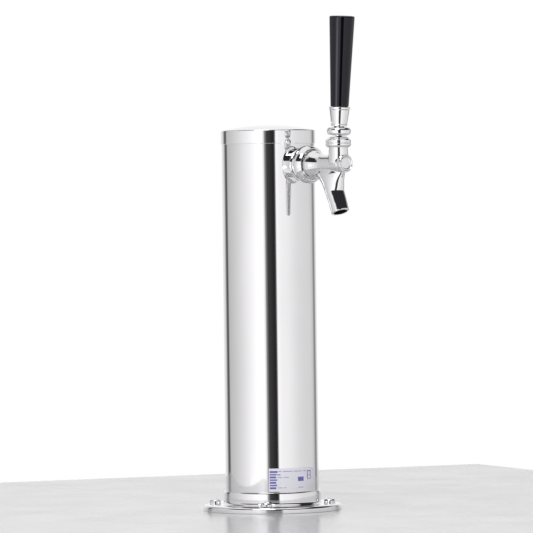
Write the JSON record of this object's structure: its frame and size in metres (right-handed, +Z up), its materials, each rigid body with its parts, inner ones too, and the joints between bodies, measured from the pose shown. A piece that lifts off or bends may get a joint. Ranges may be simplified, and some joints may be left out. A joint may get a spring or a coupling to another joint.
{
  "type": "beer tap tower",
  "caption": "Round polished column on a bolted flange with a pull-forward ball-lever beer tap, black tapered handle, lift-off cap, shank and hose-barb inlet inside.",
  "frame": {"origin": "on the column's axis in the plane of the flange's underside, at the centre of the screw circle", "axes": "+Z up the column, -Y the way the tap points, +X to the right of somebody who looks along +Y at the tap"},
  "size_m": [0.1126, 0.1623, 0.4117],
  "materials": {
    "polished_steel": "mirror-polished stainless steel",
    "chrome_plate": "bright chrome plate on brass",
    "zinc_steel": "plain stainless steel, satin",
    "bare_brass": "machined brass",
    "black_plastic": "glossy moulded phenolic",
    "black_rubber": "matt nitrile rubber",
    "white_plastic": "white acetal",
    "grey_foam": "closed-cell foam",
    "printed_film": null
  },
  "bodies": {
    "tower": {"column": "polished_steel", "base_flange": "polished_steel", "base_gasket": "black_rubber", "mounting_screws": "zinc_steel", "insulation_sleeve": "grey_foam", "print_panel": "printed_film", "shank": "chrome_plate", "shank_bezel": "chrome_plate", "shank_saddle": "zinc_steel", "shank_lock_nut": "zinc_steel", "coupling_nut": "chrome_plate", "coupling_seal": "black_rubber", "inlet_seal": "black_rubber", "inlet_nut": "zinc_steel", "inlet_elbow": "zinc_steel", "tap_body": "chrome_plate", "front_plug": "chrome_plate", "ball_seat_ring": "white_plastic", "friction_ring": "white_plastic", "bonnet": "chrome_plate"},
    "handle_lever": {"lever": "chrome_plate", "handle_ferrule": "chrome_plate", "handle_insert": "bare_brass", "handle_grip": "black_plastic"},
    "valve": {"valve_shaft": "bare_brass", "valve_washer": "black_rubber", "valve_nut": "bare_brass"},
    "cap": {"top_cap": "chrome_plate", "cap_ring": "black_rubber"}
  },
  "joints": [
    {"name": "lever_pull", "type": "hinge", "parent": "tower", "child": "handle_lever", "pos_m": [0, -0.0894, 0.293], "axis": [1, 0, 0], "range_deg": [0, 18]},
    {"name": "valve_travel", "type": "slide", "parent": "tower", "child": "valve", "axis": [0, 1, 0], "range_m": [0, 0.0037]},
    {"name": "cap_lift", "type": "slide", "parent": "tower", "child": "cap", "axis": [0, 0, 1], "range_m": [0, 0.02]}
  ],
  "couplings": [
    {"joint": "valve_travel", "follows": "lever_pull", "m_per_rad": 0.011667}
  ]
}
